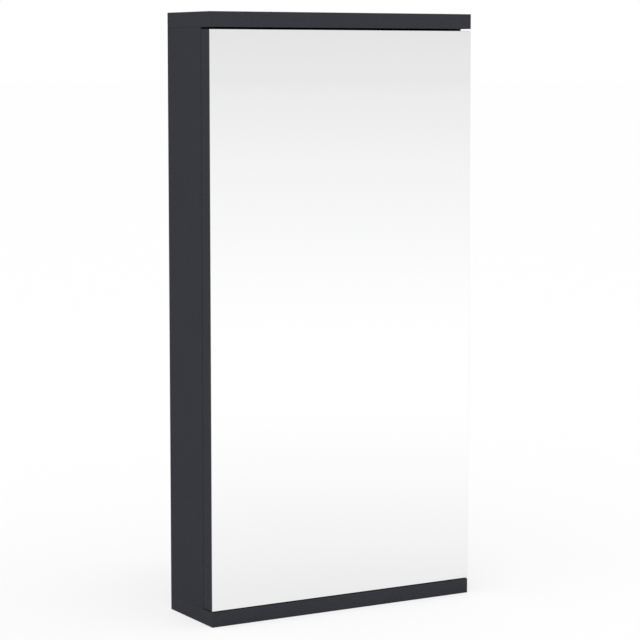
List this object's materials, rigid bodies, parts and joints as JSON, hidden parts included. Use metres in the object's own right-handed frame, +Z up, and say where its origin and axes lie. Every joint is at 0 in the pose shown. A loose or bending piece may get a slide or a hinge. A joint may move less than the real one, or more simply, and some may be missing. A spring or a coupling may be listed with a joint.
{
  "type": "corner mirror cabinet",
  "caption": "Dark board wall cabinet for a room corner, five-sided in plan, with a full-height mirror door on concealed hinges and shelves inside.",
  "frame": {"origin": "middle of the cabinet's box at the height of its underside", "axes": "+X to the right along the mirror, +Y from the mirror to the corner of the walls, +Z up"},
  "size_m": [0.3, 0.24, 0.6],
  "materials": {
    "board": "matt anthracite melamine on particle board",
    "mirror": "silvered float glass",
    "nickel": "nickel-plated pressed steel",
    "zinc": "die-cast zinc",
    "screw": "nickel-plated screws",
    "beech": "raw beech",
    "buffer": "soft clear plastic"
  },
  "bodies": {
    "cabinet": {"top_panel": "board", "bottom_panel": "board", "left_side_panel": "board", "right_side_panel": "board", "left_back_panel": "board", "right_back_panel": "board", "lower_shelf": "board", "upper_shelf": "board", "shelf_pins": "nickel", "dowels": "beech", "cam_discs": "zinc", "cam_bolts": "zinc", "lower_hinge_plate": "nickel", "upper_hinge_plate": "nickel", "lower_hinge_arm": "nickel", "upper_hinge_arm": "nickel", "hinge_arm_pins": "nickel", "hinge_plate_screws": "screw", "hinge_adjusting_screws": "screw"},
    "outer_links": {"lower_hinge_outer_link": "nickel", "upper_hinge_outer_link": "nickel"},
    "inner_links": {"lower_hinge_inner_link": "nickel", "upper_hinge_inner_link": "nickel"},
    "door": {"door_panel": "board", "mirror_glass": "mirror", "door_buffers": "buffer", "lower_hinge_cup": "nickel", "upper_hinge_cup": "nickel", "hinge_cup_pins": "nickel", "hinge_cup_screws": "screw"}
  },
  "joints": [
    {"name": "outer_link_swing", "type": "hinge", "parent": "cabinet", "child": "outer_links", "pos_m": [0.113, -0.09675, 0], "axis": [0, 0, 1], "range_deg": [-19.01, 0.01]},
    {"name": "door_swing", "type": "hinge", "parent": "outer_links", "child": "door", "pos_m": [0.1399, -0.1094, 0], "axis": [0, 0, 1], "range_deg": [0, 114]},
    {"name": "inner_link_swing", "type": "hinge", "parent": "cabinet", "child": "inner_links", "pos_m": [0.108, -0.0897, 0], "axis": [0, 0, 1], "range_deg": [-26.92, 0.01]}
  ],
  "couplings": [
    {"joint": "outer_link_swing", "follows": "door_swing", "ratio": -0.16667},
    {"joint": "inner_link_swing", "follows": "door_swing", "ratio": -0.23607}
  ]
}
